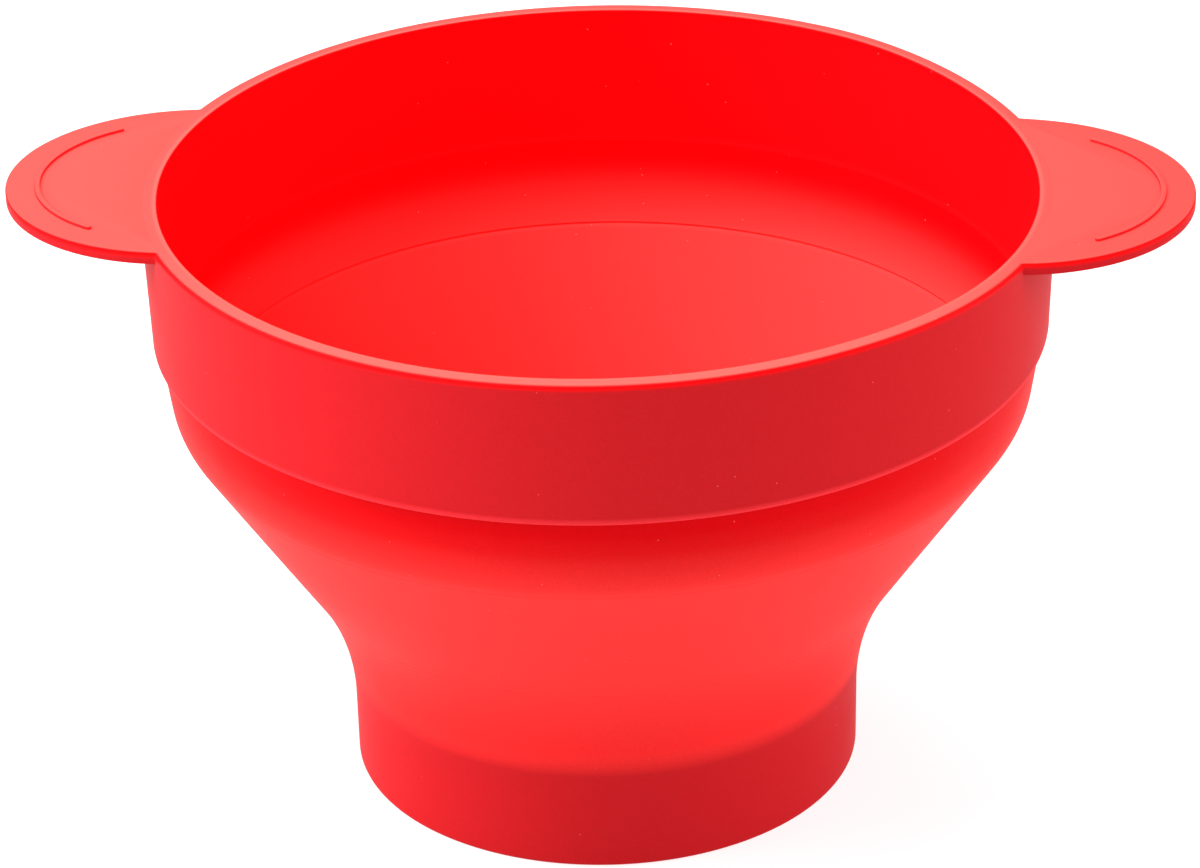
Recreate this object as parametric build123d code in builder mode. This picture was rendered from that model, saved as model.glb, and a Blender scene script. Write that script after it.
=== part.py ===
"""Collapsible silicone popcorn bowl with two tab handles.

The bowl is one moulding. It is drawn here as the zones that it folds into: a thick base cup,
a thin wall whose sloping web turns inside out between the neck and the shoulder, and a thick
band and rim with the handles. Frame: origin at the centre of the underside, +X through the
handles, +Z up. Units are millimetres.
"""

import math
import os

from build123d import *

# Overall sizes
HEIGHT = 140.6
RIM_RADIUS = 100.0
BASE_RADIUS = 57.3
HANDLE_REACH = 30.0  # from the rim's outer wall to a handle's tip

# Wall
THICK_WALL = 3.9  # the rim and band, and the base cup
THIN_WALL = 2.8  # the neck, web and shoulder, thin enough to fold
FLOOR_THICKNESS = 3.6

# Outline of the outside, from the base up
CUP_TAPER = 0.3  # how much wider the cup is at the neck than at the floor
NECK_HEIGHT = 34.3  # where the cup's side meets the slope
NECK_BEND = 64.7
SHOULDER_HEIGHT = 91.3  # where the slope meets the shoulder
SHOULDER_SETBACK = 4.85  # how far the shoulder's foot stands inside the rim
SHOULDER_BEND = 15.0
BAND_HEIGHT = 32.7  # from the ridge to the rim
BAND_TAPER = 1.15  # how much narrower the band is at the ridge
RIDGE_OVERHANG = 1.25  # how far the ridge stands out over the shoulder
RIDGE_EDGE = 0.6
BASE_EDGE = 1.0

# Outline of the inside
CUP_CORNER = 6.0
CUP_LEDGE = 1.0  # slope at the cup's inner top edge, where the wall thins
INNER_SHOULDER_BEND = 37.0

# Zones
CUP_TOP = 27.0
WEB_LOW = 49.0
WEB_HIGH = 89.0

# Handles
HANDLE_THICKNESS = 2.9
HANDLE_HALF_WIDTH = 38.0
HANDLE_ROOT = 10.0  # from the rim's outer wall in to the centre of the handle's oval
GRIP_HEIGHT = 0.6
GRIP_WIDTH = 1.3
GRIP_INSET = 7.0  # from the handle's edge to the middle of the raised line
GRIP_REACH = 7.5  # from the rim's outer wall out to the raised line's two ends

ridge_height = HEIGHT - BAND_HEIGHT
ridge_radius = RIM_RADIUS - BAND_TAPER
shoulder_top_radius = ridge_radius - RIDGE_OVERHANG
shoulder_foot_radius = RIM_RADIUS - SHOULDER_SETBACK
neck_radius = BASE_RADIUS + CUP_TAPER
slope = math.atan2(shoulder_foot_radius - neck_radius, SHOULDER_HEIGHT - NECK_HEIGHT)
band_lean = math.atan2(BAND_TAPER, BAND_HEIGHT)


def inside_corners(wall):
    """The inside's corners at the shoulder and the neck, a wall's thickness from the outside."""
    slope_offset = wall / math.cos(slope)
    rim_inside = RIM_RADIUS - THICK_WALL
    at_neck = neck_radius - slope_offset
    drop = (rim_inside - at_neck - (HEIGHT - NECK_HEIGHT) * math.tan(slope)) / (
        math.tan(band_lean) - math.tan(slope)
    )
    shoulder = (rim_inside - drop * math.tan(band_lean), HEIGHT - drop)
    cup_inside = BASE_RADIUS - THICK_WALL
    neck = (cup_inside, NECK_HEIGHT + (cup_inside - at_neck) / math.tan(slope))
    return shoulder, neck


def wall_section(wall, low, high):
    """The bowl's wall between two heights, as a sketch on the XZ plane."""
    shoulder, neck = inside_corners(wall)
    corners = [
        ((0, 0), 0),
        ((BASE_RADIUS, 0), BASE_EDGE),
        ((neck_radius, NECK_HEIGHT), NECK_BEND),
        ((shoulder_foot_radius, SHOULDER_HEIGHT), SHOULDER_BEND),
        ((shoulder_top_radius, ridge_height), 0),
        ((ridge_radius, ridge_height), RIDGE_EDGE),
        ((RIM_RADIUS, HEIGHT), 0),
        ((RIM_RADIUS - THICK_WALL, HEIGHT), 0),
        (shoulder, INNER_SHOULDER_BEND),
        (neck, NECK_BEND + wall),
        ((BASE_RADIUS - THICK_WALL, FLOOR_THICKNESS), CUP_CORNER),
        ((0, FLOOR_THICKNESS), 0),
    ]
    with BuildSketch(Plane.XZ) as section:
        with BuildLine():
            FilletPolyline(*(p for p, _ in corners), radius=[r for _, r in corners], close=True)
        make_face()
        with Locations((0, low)):
            Rectangle(
                2 * RIM_RADIUS,
                high - low,
                align=(Align.CENTER, Align.MIN),
                mode=Mode.INTERSECT,
            )
    return section.sketch


def export(piece, name):
    """Label a finished piece and write it as a STEP file."""
    piece.part.label = name
    export_step(piece.part, f"parts/{name}.step")


os.makedirs("parts", exist_ok=True)

# The floor that the bowl stands on, inside the cup's bottom corner
with BuildPart() as base_floor:
    with BuildSketch():
        Circle(BASE_RADIUS - THICK_WALL - CUP_CORNER)
    extrude(amount=FLOOR_THICKNESS)
export(base_floor, "base_floor")

# The upright base cup around it
with BuildPart() as base_cup:
    add(wall_section(THICK_WALL, 0, CUP_TOP))
    revolve(axis=Axis.Z)
    add(base_floor.part, mode=Mode.SUBTRACT)
    cup_mouth = base_cup.edges().filter_by(GeomType.CIRCLE).group_by(Axis.Z)[-1]
    chamfer(cup_mouth.sort_by(SortBy.RADIUS)[0], CUP_LEDGE)
export(base_cup, "base_cup")

# The walls and the band above the cup: node name, wall, lowest and highest point
zones = [
    ("neck_wall", THIN_WALL, CUP_TOP, WEB_LOW),
    ("folding_web", THIN_WALL, WEB_LOW, WEB_HIGH),
    ("shoulder_wall", THIN_WALL, WEB_HIGH, ridge_height),
    ("rim_band", THICK_WALL, ridge_height, HEIGHT),
]
for name, wall, low, high in zones:
    with BuildPart() as zone:
        add(wall_section(wall, low, high))
        revolve(axis=Axis.Z)
    export(zone, name)

# A plain cone with the band's outside, to trim the handles to it
with BuildPart() as band_outside:
    with BuildSketch(Plane.XY.offset(ridge_height)):
        Circle(ridge_radius)
    extrude(amount=BAND_HEIGHT, taper=-math.degrees(band_lean))

# The two tab handles, flush with the rim, and the raised line round each one's grip
handle_length = HANDLE_REACH + HANDLE_ROOT
for name, side in [("left", -1), ("right", 1)]:
    oval_centre = side * (RIM_RADIUS - HANDLE_ROOT)
    with BuildPart() as handle:
        with BuildSketch(Plane.XY.offset(HEIGHT - HANDLE_THICKNESS)):
            with Locations((oval_centre, 0)):
                Ellipse(handle_length, HANDLE_HALF_WIDTH)
            with Locations((oval_centre - side * handle_length / 2, 0)):
                Rectangle(handle_length, 2 * HANDLE_HALF_WIDTH, mode=Mode.SUBTRACT)
        extrude(amount=HANDLE_THICKNESS)
        add(band_outside.part, mode=Mode.SUBTRACT)
    export(handle, f"{name}_handle")

    with BuildPart() as grip_line:
        with BuildSketch(Plane.XY.offset(HEIGHT)):
            with Locations((oval_centre, 0)):
                Ellipse(
                    handle_length - GRIP_INSET + GRIP_WIDTH / 2,
                    HANDLE_HALF_WIDTH - GRIP_INSET + GRIP_WIDTH / 2,
                )
                Ellipse(
                    handle_length - GRIP_INSET - GRIP_WIDTH / 2,
                    HANDLE_HALF_WIDTH - GRIP_INSET - GRIP_WIDTH / 2,
                    mode=Mode.SUBTRACT,
                )
            with Locations((side * (RIM_RADIUS + GRIP_REACH - handle_length), 0)):
                Rectangle(2 * handle_length, 2 * HANDLE_HALF_WIDTH, mode=Mode.SUBTRACT)
        extrude(amount=GRIP_HEIGHT)
    export(grip_line, f"{name}_grip_line")
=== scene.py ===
"""Looks of a folding silicone popcorn bowl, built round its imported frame.

The bowl is one red moulding: a thick base cup, a thin wall that folds, and a thick band and rim
with a tab handle on each side. Lengths are in metres unless a name ends in ``_mm``, and angles in
fields are in degrees.
"""

import logging
import math
from dataclasses import dataclass, field
from enum import Enum
from typing import Iterable

import bpy
from mathutils import Matrix, Vector


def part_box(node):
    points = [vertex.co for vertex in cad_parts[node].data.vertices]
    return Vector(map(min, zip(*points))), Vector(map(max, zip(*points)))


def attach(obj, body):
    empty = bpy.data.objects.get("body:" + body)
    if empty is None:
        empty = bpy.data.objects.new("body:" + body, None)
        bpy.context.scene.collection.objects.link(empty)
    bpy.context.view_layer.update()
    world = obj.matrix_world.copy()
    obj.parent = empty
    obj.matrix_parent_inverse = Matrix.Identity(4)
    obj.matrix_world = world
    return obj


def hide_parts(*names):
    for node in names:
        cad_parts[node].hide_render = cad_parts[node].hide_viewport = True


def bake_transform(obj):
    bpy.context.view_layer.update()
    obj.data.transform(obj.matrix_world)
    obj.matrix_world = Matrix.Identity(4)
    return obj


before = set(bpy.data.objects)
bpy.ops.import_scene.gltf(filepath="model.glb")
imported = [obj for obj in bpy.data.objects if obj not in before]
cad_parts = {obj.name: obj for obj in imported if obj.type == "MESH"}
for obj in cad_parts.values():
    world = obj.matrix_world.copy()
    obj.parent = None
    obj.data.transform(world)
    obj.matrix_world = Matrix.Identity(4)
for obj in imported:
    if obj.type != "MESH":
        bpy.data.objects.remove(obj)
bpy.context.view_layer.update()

Point = tuple[float, float]
Colour = tuple[float, float, float, float]

log = logging.getLogger("popcorn_bowl")
MM = 0.001
SEGMENTS = 192
MERGE_GAP = 0.002 * MM
LEVEL_SLACK = 0.01 * MM
SAMPLE_STEP = 0.7 * MM
SAMPLE_TURN = math.radians(15)
NODE_SPACING = 180
MOULDED = "moulded_place"


class Side(Enum):
    """The two ends of the X axis, each with its sign."""

    LEFT = -1
    RIGHT = 1


class Body(Enum):
    """The frame's moving bodies that pieces ride on."""

    BASE = "base"
    RIM = "rim"


class Slot(Enum):
    """The record's material slots."""

    THICK = "silicone"
    THIN = "thin_silicone"


def eased(value: float) -> float:
    """Ease a share between 0 and 1 in and out."""
    share = min(1.0, max(0.0, value))
    return share * share * (3 - 2 * share)


def spoke(length: float, angle: float) -> Vector:
    """Return the end of a line of a length drawn from the origin at an angle in radians."""
    return Vector((length * math.cos(angle), length * math.sin(angle)))


# ---------------------------------------------------------------- outlines


def turned(corners: list[tuple[float, float, float]], step: float = SAMPLE_STEP) -> list[Point]:
    """Round the corners of an open outline.

    Args:
        corners: Radius from the axis, height and rounding of each corner, in order.
        step: Longest distance between points.

    Returns:
        Points along the outline, arcs and straight runs alike.
    """
    points: list[Vector] = []
    places = [Vector((r, z)) for r, z, _ in corners]
    for index, (here, (_, _, bend)) in enumerate(zip(places, corners)):
        if bend == 0 or index in (0, len(corners) - 1):
            points.append(here)
            continue
        back = (places[index - 1] - here).normalized()
        on = (places[index + 1] - here).normalized()
        half = back.angle(on) / 2
        start, end = here + back * (bend / math.tan(half)), here + on * (bend / math.tan(half))
        centre = here + (back + on).normalized() * (bend / math.sin(half))
        sweep = math.pi - 2 * half
        count = max(3, math.ceil(bend * sweep / step), math.ceil(sweep / SAMPLE_TURN))
        turn = math.copysign(1, (start - centre).cross(end - centre))
        arm = start - centre
        for k in range(count + 1):
            angle = turn * sweep * k / count
            c, s = math.cos(angle), math.sin(angle)
            points.append(centre + Vector((arm.x * c - arm.y * s, arm.x * s + arm.y * c)))
    fine = [points[0]]
    for here, there in zip(points, points[1:]):
        runs = max(1, math.ceil((there - here).length / step))
        fine += [here.lerp(there, k / runs) for k in range(1, runs + 1)]
    return [(p.x, p.y) for p in fine]


def cut(outline: list[Point], low: float, high: float) -> list[Point]:
    """Keep the stretch of an outline between two heights.

    Args:
        outline: Points whose heights never fall.
        low: Lowest height to keep.
        high: Highest height to keep.

    Returns:
        The points between the two heights, with one made exactly at each.
    """

    def at(height: float) -> Point:
        """Find the outline's point at a height.

        Args:
            height: The height.

        Returns:
            The point, or the nearest end if the outline doesn't reach the height.
        """
        for (r0, z0), (r1, z1) in zip(outline, outline[1:]):
            if z0 <= height <= z1 and z1 > z0:
                share = (height - z0) / (z1 - z0)
                return (r0 + (r1 - r0) * share, height)
        return outline[0] if height < outline[0][1] else outline[-1]

    slack = 0.05 * MM
    inner = [p for p in outline if low + slack < p[1] < high - slack]
    return [at(low), *inner, at(high)]


@dataclass
class BowlSizes:
    """The bowl's sizes. Those that the frame holds are read from it."""

    rim_radius: float = 0.0
    height: float = 0.0
    ridge_height: float = 0.0
    cup_top: float = 0.0
    web_low: float = 0.0
    web_high: float = 0.0
    handle_tip: float = 0.0
    base_radius: float = 57.3 * MM
    cup_taper: float = 0.3 * MM
    thick_wall: float = 3.9 * MM
    thin_wall: float = 2.8 * MM
    floor_thickness: float = 3.6 * MM
    neck_height: float = 34.3 * MM
    neck_bend: float = 64.7 * MM
    shoulder_height: float = 91.3 * MM
    shoulder_setback: float = 4.85 * MM
    shoulder_bend: float = 15.0 * MM
    inner_shoulder_bend: float = 37.0 * MM
    band_taper: float = 1.15 * MM
    ridge_overhang: float = 1.25 * MM
    cup_corner: float = 6.0 * MM

    @classmethod
    def from_frame(cls) -> "BowlSizes":
        """Read the sizes that the frame holds.

        Returns:
            The bowl's sizes.
        """
        band_low, band_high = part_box("rim_band")
        web_low, web_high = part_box("folding_web")
        return cls(
            rim_radius=band_high.x,
            height=band_high.z,
            ridge_height=band_low.z,
            cup_top=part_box("base_cup")[1].z,
            web_low=web_low.z,
            web_high=web_high.z,
            handle_tip=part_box("right_handle")[1].x,
        )

    @property
    def slope(self) -> float:
        """Lean of the sloping wall from upright, in radians."""
        foot = self.rim_radius - self.shoulder_setback
        rise = self.shoulder_height - self.neck_height
        return math.atan2(foot - self.base_radius - self.cup_taper, rise)

    @property
    def band_lean(self) -> float:
        """Lean of the band from upright, in radians."""
        return math.atan2(self.band_taper, self.height - self.ridge_height)


@dataclass
class BowlOutline:
    """The wall's outside and inside, as points from the base up."""

    sizes: BowlSizes
    ridge_edge: float = 1.1 * MM
    base_edge: float = 1.0 * MM
    rim_outer_edge: float = 0.95 * MM
    rim_inner_edge: float = 0.4 * MM
    crease_depth: float = 0.46 * MM
    outer_crease_depth: float = 0.09 * MM
    crease_half_width: float = 0.50 * MM
    crease_drop: float = 0.8 * MM

    def outside(self) -> list[Point]:
        """Draw the outside.

        Returns:
            Points from the edge of the base to the ridge's underside.
        """
        s = self.sizes
        ridge = s.rim_radius - s.band_taper
        return turned([
            (s.base_radius - 3 * self.base_edge, 0, 0),
            (s.base_radius, 0, self.base_edge),
            (s.base_radius + s.cup_taper, s.neck_height, s.neck_bend),
            (s.rim_radius - s.shoulder_setback, s.shoulder_height, s.shoulder_bend),
            (ridge - s.ridge_overhang, s.ridge_height, 0),
        ])

    def inside(self, wall: float) -> list[Point]:
        """Return the inside from the floor to the band.

        Args:
            wall: Thickness of the neck and the slope.

        Returns:
            Points from the floor's corner up to the rim.
        """
        s = self.sizes
        at_neck = s.base_radius + s.cup_taper - wall / math.cos(s.slope)
        rim = s.rim_radius - s.thick_wall
        climb = (s.height - s.neck_height) * math.tan(s.slope)
        drop = (rim - at_neck - climb) / (math.tan(s.band_lean) - math.tan(s.slope))
        cup = s.base_radius - s.thick_wall
        return turned([
            (cup - 2 * s.cup_corner, s.floor_thickness, 0),
            (cup, s.floor_thickness, s.cup_corner),
            (cup, s.neck_height + (cup - at_neck) / math.tan(s.slope), s.neck_bend + wall),
            (rim - drop * math.tan(s.band_lean), s.height - drop, s.inner_shoulder_bend),
            (rim, s.height, 0),
        ])

    def creased(self, points: list[Point], height: float, deep: float) -> list[Point]:
        """Press a fine crease into a stretch of outline.

        Args:
            points: The stretch, from the bottom up.
            height: Height of the middle of the crease.
            deep: How far the crease moves the surface along the radius.

        Returns:
            The stretch with the crease's points in it.
        """
        wide = self.crease_half_width
        kept = [p for p in points if abs(p[1] - height) > wide]
        below = max((p for p in kept if p[1] < height), key=lambda p: p[1])
        above = min((p for p in kept if p[1] > height), key=lambda p: p[1])
        made = []
        for share in (-1, -0.5, 0, 0.5, 1):
            z = height + share * wide
            r = below[0] + (above[0] - below[0]) * (z - below[1]) / (above[1] - below[1])
            made.append((r + deep * (1 + math.cos(math.pi * share)) / 2, z))
        return sorted(kept + made, key=lambda p: p[1])

    def band(self) -> list[Point]:
        """Draw the band all round: ridge, outside, rim and inside.

        Returns:
            The points of the closed loop.
        """
        s = self.sizes
        ridge = s.rim_radius - s.band_taper
        inside = cut(self.inside(s.thin_wall), s.ridge_height, s.height)
        return turned([
            (ridge - s.ridge_overhang, s.ridge_height, 0),
            (ridge, s.ridge_height, self.ridge_edge),
            (s.rim_radius, s.height, self.rim_outer_edge),
            (s.rim_radius - s.thick_wall, s.height, self.rim_inner_edge),
            *((r, z, 0) for r, z in reversed(inside) if z < s.height - 3 * self.rim_inner_edge),
        ])


# ---------------------------------------------------------------- modelling by hand


def edit(piece: bpy.types.Object) -> None:
    """Make a piece the only one selected and open it in edit mode.

    Args:
        piece: The piece.
    """
    deselect()
    piece.select_set(True)
    bpy.context.view_layer.objects.active = piece
    bpy.ops.object.mode_set(mode="EDIT")


def deselect() -> None:
    """Leave edit mode and deselect everything."""
    if bpy.context.mode != "OBJECT":
        bpy.ops.object.mode_set(mode="OBJECT")
    bpy.ops.object.select_all(action="DESELECT")


def drawn(name: str, points: Iterable[tuple[float, float, float]]) -> bpy.types.Object:
    """Draw a closed loop of edges.

    Args:
        name: The piece's name.
        points: The loop's corners in order.

    Returns:
        A piece with that loop, open in edit mode with all of it selected.
    """
    corners = [Vector(p) for p in points]
    deselect()
    bpy.ops.mesh.primitive_plane_add(size=1 * MM, location=(0, 0, 0))
    piece = bpy.context.object
    piece.name = piece.data.name = name
    edit(piece)
    bpy.ops.mesh.select_mode(type="VERT")
    bpy.ops.mesh.select_all(action="SELECT")
    bpy.ops.mesh.merge(type="CENTER")
    bpy.ops.transform.translate(value=corners[0])
    for here, there in zip(corners, corners[1:] + corners[:1]):
        bpy.ops.mesh.extrude_region_move(TRANSFORM_OT_translate={"value": there - here})
    bpy.ops.mesh.select_all(action="SELECT")
    bpy.ops.mesh.remove_doubles(threshold=MERGE_GAP)
    return piece


def lathe(name: str, loop: list[Point]) -> bpy.types.Object:
    """Spin a closed outline round the bowl's axis.

    Args:
        name: The piece's name.
        loop: Radius and height of each point of the outline, in order.

    Returns:
        A closed, smooth-shaded solid in object mode.
    """
    piece = drawn(name, [(r, 0, z) for r, z in loop])
    bpy.ops.mesh.spin(steps=SEGMENTS, angle=math.tau, center=(0, 0, 0), axis=(0, 0, 1))
    return closed(piece)


def closed(piece: bpy.types.Object, smooth_under: float = 38.0) -> bpy.types.Object:
    """Merge doubles, point every face outwards and shade smooth.

    Args:
        piece: A piece open in edit mode.
        smooth_under: Largest angle between faces that is shaded smooth, in degrees.

    Returns:
        The same piece in object mode.
    """
    bpy.ops.mesh.select_all(action="SELECT")
    bpy.ops.mesh.remove_doubles(threshold=MERGE_GAP)
    bpy.ops.mesh.normals_make_consistent(inside=False)
    bpy.ops.object.mode_set(mode="OBJECT")
    bpy.ops.object.shade_smooth_by_angle(angle=math.radians(smooth_under))
    remember_mould(piece)
    return piece


def remember_mould(piece: bpy.types.Object) -> None:
    """Store each point's place as moulded, which the finishes follow.

    Args:
        piece: The finished piece, before it settles.
    """
    mesh = piece.data
    places = [x for vertex in mesh.vertices for x in vertex.co]
    mesh.attributes.new(MOULDED, "FLOAT_VECTOR", "POINT").data.foreach_set("vector", places)


def slab(name: str, plan: list[Point], start: float, rise: float) -> bpy.types.Object:
    """Fill an outline at a height and pull it up or down into a slab.

    Args:
        name: The piece's name.
        plan: The outline seen from above.
        start: Height of the outline.
        rise: How far to pull it, down if it is negative.

    Returns:
        The slab, open in edit mode.
    """
    piece = drawn(name, [(x, y, start) for x, y in plan])
    bpy.ops.mesh.edge_face_add()
    bpy.ops.mesh.extrude_region_move(TRANSFORM_OT_translate={"value": (0, 0, rise)})
    return piece


def round_level(piece: bpy.types.Object, level: float, size: float, segments: int) -> None:
    """Round the edges of a piece that run level at a height.

    Args:
        piece: A piece open in edit mode.
        level: Height of the edges.
        size: How far the rounding reaches from each edge.
        segments: How many faces make the rounding.
    """
    bpy.ops.mesh.select_mode(type="EDGE")
    bpy.ops.mesh.select_all(action="DESELECT")
    bpy.ops.object.mode_set(mode="OBJECT")
    mesh = piece.data
    for edge in mesh.edges:
        a, b = (mesh.vertices[i].co.z for i in edge.vertices)
        edge.select = max(abs(a - level), abs(b - level)) < LEVEL_SLACK
    bpy.ops.object.mode_set(mode="EDIT")
    bpy.ops.mesh.bevel(offset=size, segments=segments, affect="EDGES")


@dataclass(frozen=True)
class SoftSettling:
    """How the soft bowl leans a little to its right and its rim sags on that side."""

    web_low: float
    ridge: float
    top: float
    lean: float = 0.62 * MM
    sag: float = 1.25 * MM
    sag_from: float = 52.0 * MM
    sag_full: float = 100.0 * MM

    def moved(self, place: Vector) -> Vector:
        """Return where a point of the bowl settles.

        Args:
            place: The point as moulded.

        Returns:
            The point as it stands.
        """
        lean = self.lean * eased((place.z - self.web_low) / (self.ridge - self.web_low))
        side = eased((place.x - self.sag_from) / (self.sag_full - self.sag_from))
        drop = self.sag * side * eased((place.z - self.ridge) / (self.top - self.ridge))
        return place + Vector((lean, 0, -drop))

    def settle(self, piece: bpy.types.Object) -> None:
        """Move every point of a piece to where it settles.

        Args:
            piece: The piece, in object mode.
        """
        for vertex in piece.data.vertices:
            vertex.co = self.moved(vertex.co)
        piece.data.update()


# ---------------------------------------------------------------- shared shader groups


class Shader:
    """A node tree with short ways to add and join nodes."""

    def __init__(self, tree: bpy.types.NodeTree) -> None:
        """Wrap a node tree."""
        self.tree = tree
        self.column = 0

    def add(self, kind: str, **values: object) -> bpy.types.Node:
        """Add a node and set its properties.

        Args:
            kind: The node's type.
            values: The properties to set.

        Returns:
            The node.
        """
        node = self.tree.nodes.new(kind)
        self.column += NODE_SPACING
        node.location = (self.column, 0)
        for key, value in values.items():
            setattr(node, key, value)
        return node

    def join(self, start: bpy.types.NodeSocket, end: bpy.types.NodeSocket) -> None:
        """Join an output to an input."""
        self.tree.links.new(start, end)

    def math(self, operation: str, *inputs: object, clamp: bool = False) -> bpy.types.NodeSocket:
        """Add a Math node and return its output.

        Args:
            operation: The Math node's operation.
            inputs: A socket to join or a number to set, for each input in turn.
            clamp: Whether to keep the result between 0 and 1.

        Returns:
            The node's output socket.
        """
        node = self.add("ShaderNodeMath", operation=operation, use_clamp=clamp)
        for socket, value in zip(node.inputs, inputs):
            if isinstance(value, bpy.types.NodeSocket):
                self.join(value, socket)
            else:
                socket.default_value = value
        return node.outputs[0]

    def mix(self, share: object, a: object, b: object) -> bpy.types.NodeSocket:
        """Mix two colours.

        Args:
            share: How much of the second colour, a socket or a number.
            a: The first colour, a socket or a value.
            b: The second colour, a socket or a value.

        Returns:
            The mixed colour's socket.
        """
        node = self.add("ShaderNodeMix", data_type="RGBA")
        for socket, value in zip((node.inputs[0], node.inputs[6], node.inputs[7]), (share, a, b)):
            if isinstance(value, bpy.types.NodeSocket):
                self.join(value, socket)
            else:
                socket.default_value = value
        return node.outputs[2]

    def noise(self, where: object, scale: object, detail: float) -> bpy.types.NodeSocket:
        """Add a noise texture.

        Args:
            where: Socket of the surface place.
            scale: Scale of the noise, a socket or a number.
            detail: How many finer layers the noise has.

        Returns:
            The noise's factor.
        """
        node = self.add("ShaderNodeTexNoise")
        self.join(where, node.inputs["Vector"])
        node.inputs["Detail"].default_value = detail
        if isinstance(scale, bpy.types.NodeSocket):
            self.join(scale, node.inputs["Scale"])
        else:
            node.inputs["Scale"].default_value = scale
        return node.outputs["Fac"]


def shader_group(
    name: str, inputs: dict[str, float], outputs: list[str]
) -> tuple[bpy.types.NodeTree, Shader, bpy.types.Node, bpy.types.Node]:
    """Start a shader group that works on a place on the surface.

    Args:
        name: The group's name.
        inputs: Name and usual value of each number that it takes.
        outputs: Name of each mask that it gives.

    Returns:
        The group's tree, its shader helper, its input node and its output node.
    """
    tree = bpy.data.node_groups.new(name, "ShaderNodeTree")
    tree.interface.new_socket("Place", in_out="INPUT", socket_type="NodeSocketVector")
    for label, value in inputs.items():
        socket = tree.interface.new_socket(label, in_out="INPUT", socket_type="NodeSocketFloat")
        socket.default_value = value
    for label in outputs:
        tree.interface.new_socket(label, in_out="OUTPUT", socket_type="NodeSocketFloat")
    shader = Shader(tree)
    return tree, shader, shader.add("NodeGroupInput"), shader.add("NodeGroupOutput")


def moulded_grain() -> bpy.types.NodeTree:
    """Make the fine matt grain that a spark-eroded mould leaves, with slow waviness under it.

    Returns:
        The shader group.
    """
    tree, s, given, out = shader_group(
        "moulded_grain", {"Grain Size": 0.25, "Wave Size": 18.0}, ["Height", "Grain", "Cloud"]
    )
    fine = s.noise(
        given.outputs["Place"], s.math("DIVIDE", 1 / MM, given.outputs["Grain Size"]), 3.0
    )
    wave = s.noise(
        given.outputs["Place"], s.math("DIVIDE", 1 / MM, given.outputs["Wave Size"]), 2.0
    )
    s.join(fine, out.inputs["Grain"])
    s.join(wave, out.inputs["Cloud"])
    s.join(s.math("MULTIPLY_ADD", wave, 1.5, fine), out.inputs["Height"])
    return tree


def dust_specks() -> bpy.types.NodeTree:
    """Make the few tiny pale specks that silicone picks up, a share of scattered cells.

    Returns:
        The shader group.
    """
    tree, s, given, out = shader_group(
        "dust_specks", {"Spacing": 4.0, "Speck Size": 0.045, "Share": 0.35}, ["Specks"]
    )
    cells = s.add("ShaderNodeTexVoronoi", feature="F1")
    s.join(given.outputs["Place"], cells.inputs["Vector"])
    s.join(s.math("DIVIDE", 1 / MM, given.outputs["Spacing"]), cells.inputs["Scale"])
    near = s.math("LESS_THAN", cells.outputs["Distance"], given.outputs["Speck Size"])
    split = s.add("ShaderNodeSeparateColor")
    s.join(cells.outputs["Color"], split.inputs[0])
    some = s.math("LESS_THAN", split.outputs[0], given.outputs["Share"])
    s.join(s.math("MULTIPLY", near, some), out.inputs["Specks"])
    return tree


def between_heights() -> bpy.types.NodeTree:
    """Make a mask that is 1 between two heights and fades out past them.

    Returns:
        The shader group.
    """
    tree, s, given, out = shader_group(
        "between_heights",
        {"Low": 0.03, "High": 0.1, "Low Fade": 0.002, "High Fade": 0.008},
        ["Mask"],
    )
    place = s.add("ShaderNodeSeparateXYZ")
    s.join(given.outputs["Place"], place.inputs[0])
    above = s.math("SUBTRACT", place.outputs["Z"], given.outputs["Low"])
    below = s.math("SUBTRACT", given.outputs["High"], place.outputs["Z"])
    rises = s.math("DIVIDE", above, given.outputs["Low Fade"])
    falls = s.math("DIVIDE", below, given.outputs["High Fade"])
    shares = [s.math("MULTIPLY_ADD", side, 0.5, 0.5, clamp=True) for side in (rises, falls)]
    s.join(s.math("MULTIPLY", *shares), out.inputs["Mask"])
    return tree


def within_radius() -> bpy.types.NodeTree:
    """Make a mask that is 1 nearer the bowl's axis than a radius.

    Returns:
        The shader group.
    """
    tree, s, given, out = shader_group(
        "within_radius", {"Radius": 0.097, "Fade": 0.0005}, ["Mask"]
    )
    place = s.add("ShaderNodeSeparateXYZ")
    s.join(given.outputs["Place"], place.inputs[0])
    squares = [s.math("MULTIPLY", place.outputs[axis], place.outputs[axis]) for axis in "XY"]
    radius = s.math("SQRT", s.math("ADD", *squares))
    gap = s.math("SUBTRACT", given.outputs["Radius"], radius)
    near = s.math("DIVIDE", gap, given.outputs["Fade"])
    s.join(s.math("MULTIPLY_ADD", near, 0.5, 0.5, clamp=True), out.inputs["Mask"])
    return tree


class SharedGroups:
    """The shader groups that every finish draws on, each made once."""

    def __init__(self) -> None:
        """Make the groups."""
        self.grain = moulded_grain()
        self.specks = dust_specks()
        self.heights = between_heights()
        self.within = within_radius()


def placed(
    shader: Shader, tree: bpy.types.NodeTree, place: object, **values: float
) -> bpy.types.Node:
    """Put a shared group in a material.

    Args:
        shader: The material's shader helper.
        tree: The group.
        place: Socket of the surface place.
        values: The group's own values, with spaces in their names as underscores.

    Returns:
        The group's node.
    """
    node = shader.add("ShaderNodeGroup", node_tree=tree)
    shader.join(place, node.inputs["Place"])
    for label, value in values.items():
        node.inputs[label.replace("_", " ")].default_value = value
    return node


# ---------------------------------------------------------------- finishes


@dataclass(frozen=True)
class Zone:
    """A stretch of the bowl's height whose tone is painted light or shade laid over the rest."""

    tone: Colour
    low: float
    high: float
    low_fade: float
    high_fade: float


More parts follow.
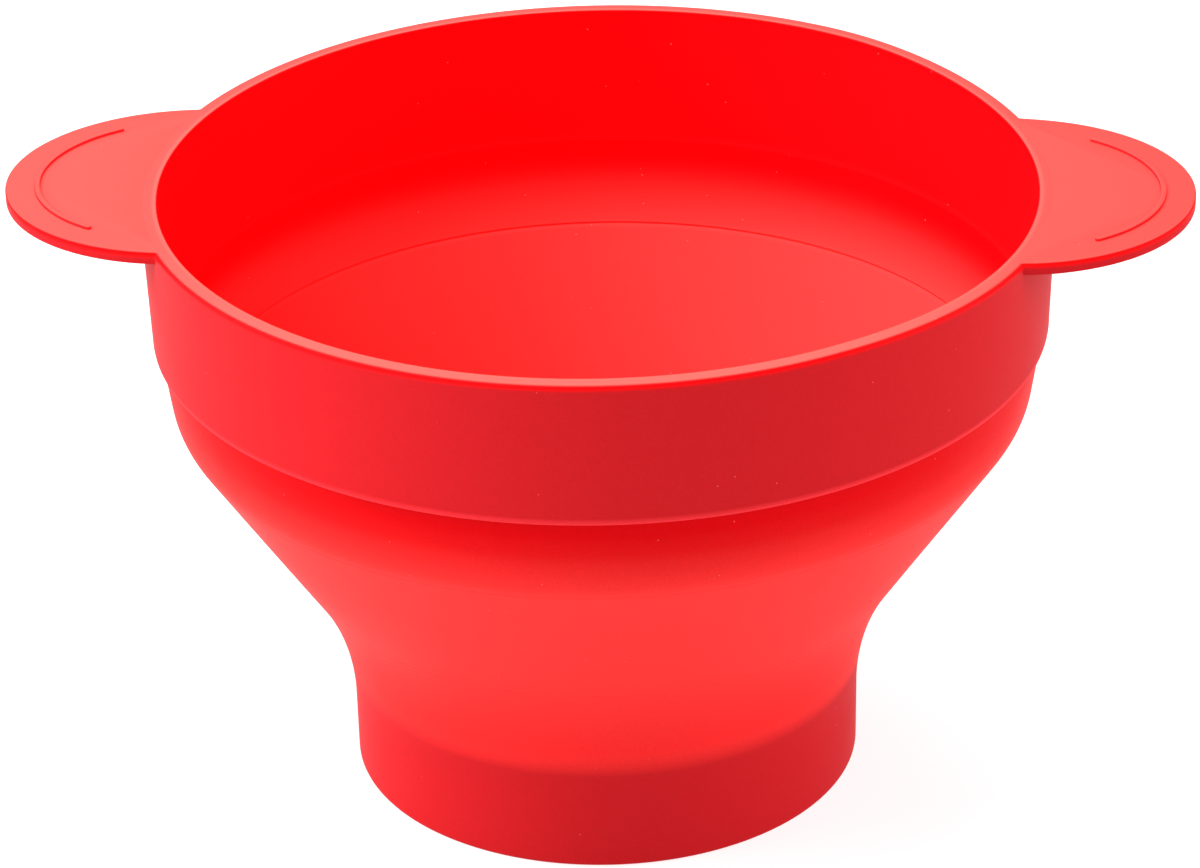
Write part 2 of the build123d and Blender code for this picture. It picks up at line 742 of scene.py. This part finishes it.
@dataclass(frozen=True)
class SurfacePoint:
    """Nodes that say where a point of a surface is and which way it faces."""

    place: bpy.types.NodeSocket
    at: bpy.types.Node
    facing: bpy.types.Node

    @classmethod
    def of(cls, s: Shader) -> "SurfacePoint":
        """Add the nodes to a material.

        Args:
            s: The material's shader helper.

        Returns:
            The point's place as moulded, that place split by axis, and the normal split by axis.
        """
        stored = s.add("ShaderNodeAttribute", attribute_type="GEOMETRY", attribute_name=MOULDED)
        at, facing = s.add("ShaderNodeSeparateXYZ"), s.add("ShaderNodeSeparateXYZ")
        s.join(stored.outputs["Vector"], at.inputs[0])
        s.join(s.add("ShaderNodeNewGeometry").outputs["Normal"], facing.inputs[0])
        return cls(stored.outputs["Vector"], at, facing)


@dataclass(frozen=True)
class SiliconeFinish:
    """Satin red moulded silicone, deep where it is thick, with light and shade painted into its
    colour: a painted glow where it is thin, painted shade and highlights, and a painted sheen on
    top.
    """

    name: str
    zones: tuple[Zone, ...]
    deep: Colour = (0.575, 0.0118, 0.0162, 1.0)
    # painted light: the band's inside is a brighter and more saturated red than its outside,
    # standing in for the red light that bounces round inside the bowl
    inside: Colour = (0.72, 0.0006, 0.0025, 1.0)
    painted_inside_radius: float = 97.0 * MM
    painted_inside_edge: float = 0.5 * MM
    painted_inside_from: float = 96.0 * MM
    painted_inside_fade: float = 9.0 * MM
    # painted shade: a deeper red on the inner slope and the floor, more towards the left and the
    # front
    shade: Colour = (0.86, 0.002, 0.004, 1.0)
    shade_fall: float = 5.5
    shade_middle: float = 0.5
    # painted sheen: a paler red on the flat tops of the rim and the tabs, standing in for the
    # glancing reflection of the lights, paler still at the lip and the front
    painted_sheen: Colour = (0.92, 0.050, 0.043, 1.0)
    painted_sheen_from: float = 140.3 * MM
    painted_sheen_fade: float = 0.1 * MM
    paler_painted_sheen: Colour = (0.92, 0.070, 0.058, 1.0)
    paler_sheen_from: float = 30.0 * MM
    paler_sheen_full: float = 80.0 * MM
    lip_radius: float = 97.2 * MM
    lip_edge: float = 0.3 * MM
    dust: Colour = (0.85, 0.16, 0.15, 1.0)
    dust_strength: float = 0.6
    mottle: float = 0.10
    mottle_contrast: float = 2.2
    roughness: float = 0.50
    roughness_spread: float = 0.10
    specular: float = 0.03
    ior: float = 1.43
    grain_height: float = 0.004 * MM
    grain_size_mm: float = 0.5
    wave_size_mm: float = 22.0

    def zoned(self, s: Shader, groups: SharedGroups, point: SurfacePoint) -> bpy.types.NodeSocket:
        """Lay the painted light and shade of the bowl's height over the deep tone, and the inside's
        painted light over them.

        Args:
            s: The material's shader helper.
            groups: The shared shader groups.
            point: The surface point.

        Returns:
            The colour socket.
        """
        tone: object = self.deep
        for zone in self.zones:
            mask = placed(
                s, groups.heights, point.place, Low=zone.low, High=zone.high,
                Low_Fade=zone.low_fade, High_Fade=zone.high_fade,
            )
            tone = s.mix(mask.outputs["Mask"], tone, zone.tone)
        within = placed(
            s, groups.within, point.place, Radius=self.painted_inside_radius, Fade=self.painted_inside_edge
        )
        upper = placed(
            s, groups.heights, point.place, Low=self.painted_inside_from, High=1.0,
            Low_Fade=self.painted_inside_fade, High_Fade=1.0,
        )
        # the band's inside, where its painted light goes
        inner = s.math("MULTIPLY", within.outputs["Mask"], upper.outputs["Mask"])
        return s.mix(inner, tone, self.inside)

    def shaded(self, s: Shader, point: SurfacePoint, tone: object) -> bpy.types.NodeSocket:
        """Paint shade on the inner slope and the floor, deeper towards the left and the front.

        Args:
            s: The material's shader helper.
            point: The surface point.
            tone: The colour socket so far.

        Returns:
            The colour socket.
        """
        across, along = point.at.outputs["X"], point.at.outputs["Y"]
        share = s.math("MULTIPLY_ADD", across, -self.shade_fall, self.shade_middle)
        share = s.math("MULTIPLY_ADD", along, -self.shade_fall, share, clamp=True)
        sloped = s.math("MULTIPLY_ADD", point.facing.outputs["Z"], 3.0, -0.5, clamp=True)
        return s.mix(s.math("MULTIPLY", sloped, share), tone, self.shade)

    def with_painted_top_sheen(
        self, s: Shader, groups: SharedGroups, point: SurfacePoint, tone: object
    ) -> bpy.types.NodeSocket:
        """Paint a pale sheen on the flat faces of the rim and the tabs, paler at the lip and at the
        front.

        Args:
            s: The material's shader helper.
            groups: The shared shader groups.
            point: The surface point.
            tone: The colour socket so far.

        Returns:
            The colour socket.
        """
        top = placed(
            s, groups.heights, point.place, Low=self.painted_sheen_from, High=1.0,
            Low_Fade=self.painted_sheen_fade, High_Fade=1.0,
        )
        upward = s.math("MULTIPLY_ADD", point.facing.outputs["Z"], 5.0, -4.0, clamp=True)
        lip = placed(s, groups.within, point.place, Radius=self.lip_radius, Fade=self.lip_edge)
        reach = self.paler_sheen_full - self.paler_sheen_from
        front = s.math(
            "MULTIPLY_ADD", point.at.outputs["Y"], -1 / reach, -self.paler_sheen_from / reach, clamp=True
        )
        painted_sheen = s.mix(s.math("MAXIMUM", lip.outputs["Mask"], front), self.painted_sheen, self.paler_painted_sheen)
        return s.mix(s.math("MULTIPLY", upward, top.outputs["Mask"]), tone, painted_sheen)

    def dusted(
        self, s: Shader, specks: bpy.types.Node, grain: bpy.types.Node, tone: object
    ) -> bpy.types.NodeSocket:
        """Mottle the tone with the grain and scatter dust on it.

        Args:
            s: The material's shader helper.
            specks: The dust group's node.
            grain: The grain group's node.
            tone: The colour socket so far.

        Returns:
            The colour socket.
        """
        darker = s.add("ShaderNodeHueSaturation")
        s.join(tone, darker.inputs["Color"])
        darker.inputs["Value"].default_value = 1 - self.mottle
        contrast = self.mottle_contrast
        speckle = s.math(
            "MULTIPLY_ADD", grain.outputs["Grain"], contrast, (1 - contrast) / 2, clamp=True
        )
        mottled = s.mix(speckle, tone, darker.outputs["Color"])
        dusty = s.math("MULTIPLY", specks.outputs["Specks"], self.dust_strength)
        return s.mix(dusty, mottled, self.dust)

    def roughen(self, s: Shader, grain: bpy.types.Node, skin: bpy.types.Node) -> None:
        """Give the skin its satin roughness, which wanders a little, and its fine grain.

        Args:
            s: The material's shader helper.
            grain: The grain group's node.
            skin: The material's Principled node.
        """
        spread = s.math("SUBTRACT", grain.outputs["Cloud"], 0.5)
        s.join(
            s.math("MULTIPLY_ADD", spread, self.roughness_spread, self.roughness, clamp=True),
            skin.inputs["Roughness"],
        )
        bump = s.add("ShaderNodeBump")
        bump.inputs["Distance"].default_value = self.grain_height
        s.join(grain.outputs["Height"], bump.inputs["Height"])
        s.join(bump.outputs["Normal"], skin.inputs["Normal"])

    def make(self, groups: SharedGroups) -> bpy.types.Material:
        """Build the material.

        Args:
            groups: The shared shader groups.

        Returns:
            The finished material.
        """
        material = bpy.data.materials.new(self.name)
        material.use_nodes = True
        s = Shader(material.node_tree)
        skin = material.node_tree.nodes["Principled BSDF"]
        point = SurfacePoint.of(s)
        grain = placed(
            s, groups.grain, point.place, Grain_Size=self.grain_size_mm, Wave_Size=self.wave_size_mm
        )
        specks = placed(s, groups.specks, point.place)
        # painted shade on the inner slope and the floor
        tone = self.shaded(s, point, self.zoned(s, groups, point))
        # painted sheen on the flat tops of the rim and the tabs
        tone = self.with_painted_top_sheen(s, groups, point, tone)
        s.join(self.dusted(s, specks, grain, tone), skin.inputs["Base Color"])
        self.roughen(s, grain, skin)
        skin.inputs["IOR"].default_value = self.ior
        skin.inputs["Specular IOR Level"].default_value = self.specular
        return material


def silicone_zones(sizes: BowlSizes) -> tuple[Zone, ...]:
    """List the tones of the bowl, all of them painted light and shade, from the thin wall to the
    edge of the rim.

    Args:
        sizes: The bowl's sizes.

    Returns:
        The zones in the order that they are laid over the deep tone.
    """
    # painted glow: a lighter red on the thin wall, standing in for light that shines through it
    glow: Colour = (0.93, 0.035, 0.033, 1.0)
    # painted glow near the neck: a more saturated red just above the cup
    neck: Colour = (0.93, 0.022, 0.022, 1.0)
    # painted shade: a darker red in the groove under the ridge's overhang
    groove_painted_shade: Colour = (0.68, 0.0005, 0.003, 1.0)
    # painted highlight: a lighter red along the ridge's rounded lower edge
    ridge: Colour = (0.84, 0.030, 0.040, 1.0)
    # painted highlight: a bright red line along the rim's top edge
    lit_edge: Colour = (0.95, 0.003, 0.004, 1.0)
    cup_fade = 3.5 * MM
    painted_glow_top, neck_painted_glow_top, groove_painted_shade_low = 101.5 * MM, 42.0 * MM, 101.0 * MM
    crisp, foot, top = 0.1 * MM, sizes.ridge_height, sizes.height
    return (
        Zone(glow, sizes.cup_top, painted_glow_top, cup_fade, 8 * MM),
        Zone(neck, sizes.cup_top, neck_painted_glow_top, cup_fade, 12 * MM),
        Zone(groove_painted_shade, groove_painted_shade_low, foot, 3.5 * MM, crisp),
        Zone(ridge, foot, foot + 1.3 * MM, crisp, 0.6 * MM),
        Zone(lit_edge, top - 1.0 * MM, top + crisp, 0.5 * MM, crisp),
    )


@dataclass(frozen=True)
class FloorFinish:
    """Matt white paper sweep."""

    name: str = "white_sweep"
    colour: Colour = (0.24, 0.24, 0.24, 1.0)
    glow: float = 0.80
    glow_colour: Colour = (1.0, 1.0, 1.0, 1.0)
    unevenness: float = 0.015
    cloud_scale: float = 3.0
    roughness: float = 0.9

    def make(self) -> bpy.types.Material:
        """Build the material.

        Returns:
            The finished material.
        """
        material = bpy.data.materials.new(self.name)
        material.use_nodes = True
        s = Shader(material.node_tree)
        skin = material.node_tree.nodes["Principled BSDF"]
        place = s.add("ShaderNodeTexCoord").outputs["Object"]
        cloud = s.noise(place, self.cloud_scale, 2.0)
        darker = tuple((1 - self.unevenness) * c for c in self.colour[:3]) + (1.0,)
        s.join(s.mix(cloud, self.colour, darker), skin.inputs["Base Color"])
        skin.inputs["Roughness"].default_value = self.roughness
        skin.inputs["Emission Color"].default_value = self.glow_colour
        skin.inputs["Emission Strength"].default_value = self.glow
        return material


# ---------------------------------------------------------------- pieces


def dress(piece: bpy.types.Object, material: bpy.types.Material) -> None:
    """Give a piece its material.

    Args:
        piece: The piece.
        material: Its only material.
    """
    piece.data.materials.clear()
    piece.data.materials.append(material)


@dataclass
class BaseCup:
    """The thick cup that the bowl stands on, and its floor."""

    outline: BowlOutline
    floor_radius: float = 44.0 * MM
    ledge: float = 1.1 * MM

    def build(self, thick: bpy.types.Material) -> list[bpy.types.Object]:
        """Model the cup and the floor.

        Args:
            thick: Material of the thick silicone.

        Returns:
            The cup and the floor.
        """
        s = self.outline.sizes
        outer = cut(self.outline.outside(), 0.0, s.cup_top)
        thin_inside = cut(self.outline.inside(s.thin_wall), s.cup_top, s.height)[0]
        inner = cut(
            self.outline.inside(s.thick_wall), s.floor_thickness, s.cup_top - self.ledge
        )
        edge, top = self.floor_radius, s.floor_thickness
        cup = lathe(
            "base_cup_shell", [(edge, 0.0), *outer, thin_inside, *reversed(inner), (edge, top)]
        )
        radii = (0.0, edge / 2, edge)
        floor = lathe(
            "base_floor_disc", [*((r, 0.0) for r in radii), *((r, top) for r in reversed(radii))]
        )
        for piece, node in ((cup, "base_cup"), (floor, "base_floor")):
            dress(piece, thick)
            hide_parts(node)
            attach(piece, Body.BASE.value)
        return [cup, floor]


@dataclass
class FoldingWall:
    """The thin wall: neck, folding web and shoulder."""

    outline: BowlOutline
    settling: SoftSettling

    def stretch(self, name: str, low: float, high: float) -> bpy.types.Object:
        """Model the thin wall between two heights, with the creases that fall there.

        Args:
            name: The piece's name.
            low: Height of its lower edge.
            high: Height of its upper edge.

        Returns:
            The piece, settled.
        """
        line = self.outline
        s = line.sizes
        outer = cut(line.outside(), low, high)
        inner = cut(line.inside(s.thin_wall), low, high)
        low_crease, high_crease = s.web_low + line.crease_drop, s.web_high - line.crease_drop
        for crease in (low_crease, high_crease):
            if low < crease < high:
                outer = line.creased(outer, crease, -line.outer_crease_depth)
        if low < high_crease < high:
            inner = line.creased(inner, high_crease, line.crease_depth)
        wall = lathe(name, [*outer, *reversed(inner)])
        self.settling.settle(wall)
        return wall

    def build(self, thin: bpy.types.Material) -> list[bpy.types.Object]:
        """Model the neck, the web and the shoulder.

        Args:
            thin: Material of the thin silicone.

        Returns:
            The three pieces.
        """
        s = self.outline.sizes
        neck = self.stretch("neck_wall_skin", s.cup_top, s.web_low)
        slope = self.stretch("folding_web_skin", s.web_low, s.web_high)
        shoulder = self.stretch("shoulder_wall_skin", s.web_high, s.ridge_height)
        for piece, node in (
            (neck, "neck_wall"), (slope, "folding_web"), (shoulder, "shoulder_wall")
        ):
            dress(piece, thin)
            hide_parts(node)
        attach(neck, Body.BASE.value)
        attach(shoulder, Body.RIM.value)
        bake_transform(slope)
        return [neck, slope, shoulder]


@dataclass
class RimBand:
    """The thick upright band, with the ridge at its foot and the flat rim on top."""

    outline: BowlOutline
    settling: SoftSettling

    def build(self, thick: bpy.types.Material) -> bpy.types.Object:
        """Model the band.

        Args:
            thick: Material of the thick silicone.

        Returns:
            The band.
        """
        band = lathe("rim_band_shell", self.outline.band())
        self.settling.settle(band)
        dress(band, thick)
        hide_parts("rim_band")
        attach(band, Body.RIM.value)
        return band


@dataclass
class TabHandle:
    """A flat tab, flush with the rim, with a raised line round its grip."""

    outline: BowlOutline
    side: Side
    settling: SoftSettling
    thickness: float = 2.9 * MM
    half_width: float = 38.0 * MM
    root: float = 10.0 * MM
    corner: float = 2.2 * MM
    top_edge: float = 0.3 * MM
    low_edge: float = 0.5 * MM
    tuck: float = 1.9 * MM
    tuck_drop: float = 0.01 * MM
    twist: float = 0.9
    grip_inset: float = 7.0 * MM
    grip_reach: float = 8.3 * MM
    grip_half_width: float = 0.65 * MM
    grip_height: float = 0.6 * MM
    grip_sunk: float = 0.2 * MM
    grip_edge: float = 0.18 * MM
    arc_points: int = 96
    corner_points: int = 10
    back_points: int = 24
    end_points: int = 8

    @property
    def centre(self) -> float:
        """Distance from the bowl's axis to the centre of the tab's oval."""
        return self.outline.sizes.rim_radius - self.root

    @property
    def length(self) -> float:
        """Half the length of the tab's oval."""
        return self.outline.sizes.handle_tip - self.centre

    @property
    def face_radius(self) -> float:
        """Radius where the rim's flat face ends and its outer edge rounds off."""
        return self.outline.sizes.rim_radius - self.outline.rim_outer_edge

    def oval(self, angle: float, inset: float = 0.0) -> Vector:
        """Return a point of the tab's oval, as if the tab were on the right."""
        return Vector((
            self.centre + (self.length - inset) * math.cos(angle),
            (self.half_width - inset) * math.sin(angle),
        ))

    def corner_circle(self) -> tuple[Vector, Vector, Vector]:
        """Find the small round corner where the tab meets the rim.

        Returns:
            Its centre, and the points where it touches the oval and the rim's flat face.
        """
        radius = self.face_radius
        low, high, halvings = 0.2, math.pi, 60
        for _ in range(halvings):
            middle = (low + high) / 2
            p = self.oval(middle)
            normal = Vector((
                math.cos(middle) / self.length, math.sin(middle) / self.half_width
            )).normalized()
            centre = p + normal * self.corner
            if centre.length > radius + self.corner:
                low = middle
            else:
                high = middle
        return centre, p, centre.normalized() * radius

    def plan(self) -> list[Point]:
        """Draw the tab's outline seen from above, for the right-hand side.

        Returns:
            The points of the closed outline.
        """
        centre, on_oval, on_rim = self.corner_circle()
        stop = math.atan2(on_oval.y / self.half_width, (on_oval.x - self.centre) / self.length)
        arc = [self.oval(stop * k / self.arc_points) for k in range(self.arc_points)]
        start = math.atan2(on_oval.y - centre.y, on_oval.x - centre.x)
        turn = (on_oval - centre).angle(on_rim - centre)
        steps = self.corner_points
        corner = [
            centre + spoke(self.corner, start - turn * k / steps) for k in range(steps + 1)
        ]
        inner = self.face_radius - self.tuck
        sweep = math.atan2(on_rim.y, on_rim.x)
        back = [
            spoke(inner, sweep * (1 - k / self.back_points)) for k in range(self.back_points)
        ]
        upper = [*arc, *corner, *back]
        lower = [Vector((p.x, -p.y)) for p in reversed(upper[1:])]
        middle = Vector((inner, 0))
        return [(p.x, p.y) for p in [*upper, middle, *lower]]

    def sided(self, plan: list[Point]) -> list[Point]:
        """Return an outline of the right-hand side as it is on the tab's own side."""
        return [(self.side.value * x, y) for x, y in plan]

    def tab(self, name: str) -> bpy.types.Object:
        """Model the tab, its back edge tucked into the rim a hair below the rim's face.

        Args:
            name: The piece's name.

        Returns:
            The tab, before it is turned and settled.
        """
        top = self.outline.sizes.height - self.tuck_drop
        piece = slab(name, self.sided(self.plan()), top, -self.thickness)
        round_level(piece, top, self.top_edge, 3)
        round_level(piece, top - self.thickness, self.low_edge, 3)
        return closed(piece)

    def grip_plan(self) -> list[Point]:
        """Draw the raised line's outline seen from above, for the right-hand side.

        Returns:
            The points of the closed outline, with round ends.
        """
        s = self.outline.sizes
        half = self.grip_half_width
        reach = s.rim_radius + self.grip_reach - self.centre
        stop = math.acos(reach / (self.length - self.grip_inset))
        steps = self.arc_points // 2
        angles = [stop * k / steps for k in range(-steps, steps + 1)]
        outer = [self.oval(angle, self.grip_inset - half) for angle in angles]
        inner = [self.oval(angle, self.grip_inset + half) for angle in reversed(angles)]
        ends = []
        for start, end in ((outer[-1], inner[0]), (inner[-1], outer[0])):
            middle, arm = (start + end) / 2, (start - end) / 2
            across = Vector((-arm.y, arm.x))
            turns = [math.pi * k / self.end_points for k in range(1, self.end_points)]
            ends.append([middle + arm * math.cos(t) + across * math.sin(t) for t in turns])
        return [(p.x, p.y) for p in [*outer, *ends[0], *inner, *ends[1]]]

    def grip_line(self, name: str) -> bpy.types.Object:
        """Model the raised line round the grip, with round ends and a softened top.

        Args:
            name: The piece's name.

        Returns:
            The line, before it is turned and settled.
        """
        rim = self.outline.sizes.height
        foot, rise = rim - self.grip_sunk, self.grip_sunk + self.grip_height
        piece = slab(name, self.sided(self.grip_plan()), foot, rise)
        round_level(piece, rim + self.grip_height, self.grip_edge, 2)
        return closed(piece)

    def turn_forward(self, piece: bpy.types.Object) -> None:
        """Turn a right-hand piece a little towards the front, about the bowl's axis."""
        if self.side is Side.RIGHT:
            piece.data.transform(Matrix.Rotation(math.radians(-self.twist), 4, "Z"))

    def build(self, thick: bpy.types.Material) -> list[bpy.types.Object]:
        """Model the tab and its grip line.

        Args:
            thick: Material of the thick silicone.

        Returns:
            The tab and the line.
        """
        label = self.side.name.lower()
        made = []
        for piece, node in (
            (self.tab(f"{label}_handle_tab"), f"{label}_handle"),
            (self.grip_line(f"{label}_grip_bead"), f"{label}_grip_line"),
        ):
            self.turn_forward(piece)
            self.settling.settle(piece)
            dress(piece, thick)
            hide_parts(node)
            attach(piece, Body.RIM.value)
            made.append(piece)
        return made


# ---------------------------------------------------------------- studio


@dataclass
class SoftBox:
    """A large soft light that faces the bowl."""

    name: str
    azimuth: float
    elevation: float
    distance: float
    width: float
    height: float
    power: float

    def build(self, target: Vector) -> None:
        """Place the light.

        Args:
            target: What the light faces.
        """
        a, e = math.radians(self.azimuth), math.radians(self.elevation)
        away = Vector((math.sin(a) * math.cos(e), -math.cos(a) * math.cos(e), math.sin(e)))
        deselect()
        bpy.ops.object.light_add(type="AREA", location=target + away * self.distance)
        lamp = bpy.context.object
        lamp.name = self.name
        lamp.rotation_euler = away.to_track_quat("Z", "Y").to_euler()
        lamp.data.shape = "RECTANGLE"
        lamp.data.size, lamp.data.size_y = self.width, self.height
        lamp.data.energy = self.power


@dataclass
class Studio:
    """White sweep, soft lights and the camera."""

    lens_mm: float = 150.0
    sensor_mm: float = 36.0
    distance: float = 1120.6 * MM
    elevation: float = 27.40
    azimuth: float = 3.55
    tilt: float = -1.335
    aim_height: float = 78.06 * MM
    aim_side: float = -0.15 * MM
    floor_size: float = 14.0
    horizon: Colour = (0.06, 0.06, 0.063, 1.0)
    zenith: Colour = (1.0, 1.0, 1.0, 1.0)
    room_strength: float = 1.0
    room_rise: float = 1.25
    lights: list[SoftBox] = field(default_factory=lambda: [
        SoftBox("left_softbox", -84.0, 36.0, 0.80, 0.7, 0.7, 10.5),
        SoftBox("back_softbox", -150.0, 60.0, 1.5, 1.4, 1.2, 21.0),
        SoftBox("top_softbox", -50.0, 75.0, 1.3, 0.6, 0.6, 15.0),
        SoftBox("right_softbox", 92.0, 18.0, 1.6, 0.6, 1.0, 13.0),
    ])

    def build_floor(self) -> None:
        """Lay the white sweep."""
        deselect()
        bpy.ops.mesh.primitive_plane_add(size=self.floor_size, location=(0, 0, 0))
        floor = bpy.context.object
        floor.name = "white_sweep"
        floor.data.materials.append(FloorFinish().make())

    def build_world(self) -> None:
        """Light the room softly, brighter overhead than at the sides."""
        world = bpy.data.worlds.new("soft_room")
        bpy.context.scene.world = world
        world.use_nodes = True
        s = Shader(world.node_tree)
        sky = world.node_tree.nodes["Background"]
        way = s.add("ShaderNodeSeparateXYZ")
        s.join(s.add("ShaderNodeTexCoord").outputs["Generated"], way.inputs[0])
        up = s.math("MULTIPLY_ADD", way.outputs["Z"], self.room_rise, 0.0, clamp=True)
        s.join(s.mix(up, self.horizon, self.zenith), sky.inputs["Color"])
        sky.inputs["Strength"].default_value = self.room_strength

    def build_camera(self) -> None:
        """Stand the camera in front of the bowl, a little to its right and above it."""
        a, e, roll = (math.radians(x) for x in (self.azimuth, self.elevation, self.tilt))
        target = Vector((self.aim_side, 0, self.aim_height))
        away = Vector((math.sin(a) * math.cos(e), -math.cos(a) * math.cos(e), math.sin(e)))
        right = Vector((math.cos(a), math.sin(a), 0))
        up = away.cross(right)
        tilted_right = right * math.cos(roll) + up * math.sin(roll)
        tilted_up = up * math.cos(roll) - right * math.sin(roll)
        deselect()
        bpy.ops.object.camera_add(location=target + away * self.distance)
        camera = bpy.context.object
        turn = Matrix((tilted_right, tilted_up, away)).transposed().to_4x4()
        camera.matrix_world = Matrix.Translation(target + away * self.distance) @ turn
        camera.data.sensor_width = self.sensor_mm
        camera.data.lens = self.lens_mm
        camera.data.clip_start, camera.data.clip_end = 0.01, 50.0
        bpy.context.scene.camera = camera

    def build(self) -> None:
        """Set up the whole studio."""
        self.build_floor()
        self.build_world()
        self.build_camera()
        for light in self.lights:
            light.build(Vector((0, 0, self.aim_height)))
        bpy.context.scene.view_settings.view_transform = "Standard"


# ---------------------------------------------------------------- the bowl


def main() -> None:
    """Build the bowl and the studio in order."""
    logging.basicConfig(level=logging.INFO, format="%(name)s: %(message)s")
    sizes = BowlSizes.from_frame()
    outline = BowlOutline(sizes)
    settling = SoftSettling(sizes.web_low, sizes.ridge_height, sizes.height)
    groups = SharedGroups()
    zones = silicone_zones(sizes)
    thick = SiliconeFinish("thick_silicone", zones).make(groups)
    thin = SiliconeFinish("thin_silicone", zones).make(groups)
    Studio().build()
    pieces = [
        *BaseCup(outline).build(thick),
        *FoldingWall(outline, settling).build(thin),
        RimBand(outline, settling).build(thick),
        *TabHandle(outline, Side.LEFT, settling).build(thick),
        *TabHandle(outline, Side.RIGHT, settling).build(thick),
    ]
    for piece in pieces:
        log.info("%s: %d faces", piece.name, len(piece.data.polygons))


if __name__ == "__main__":
    main()
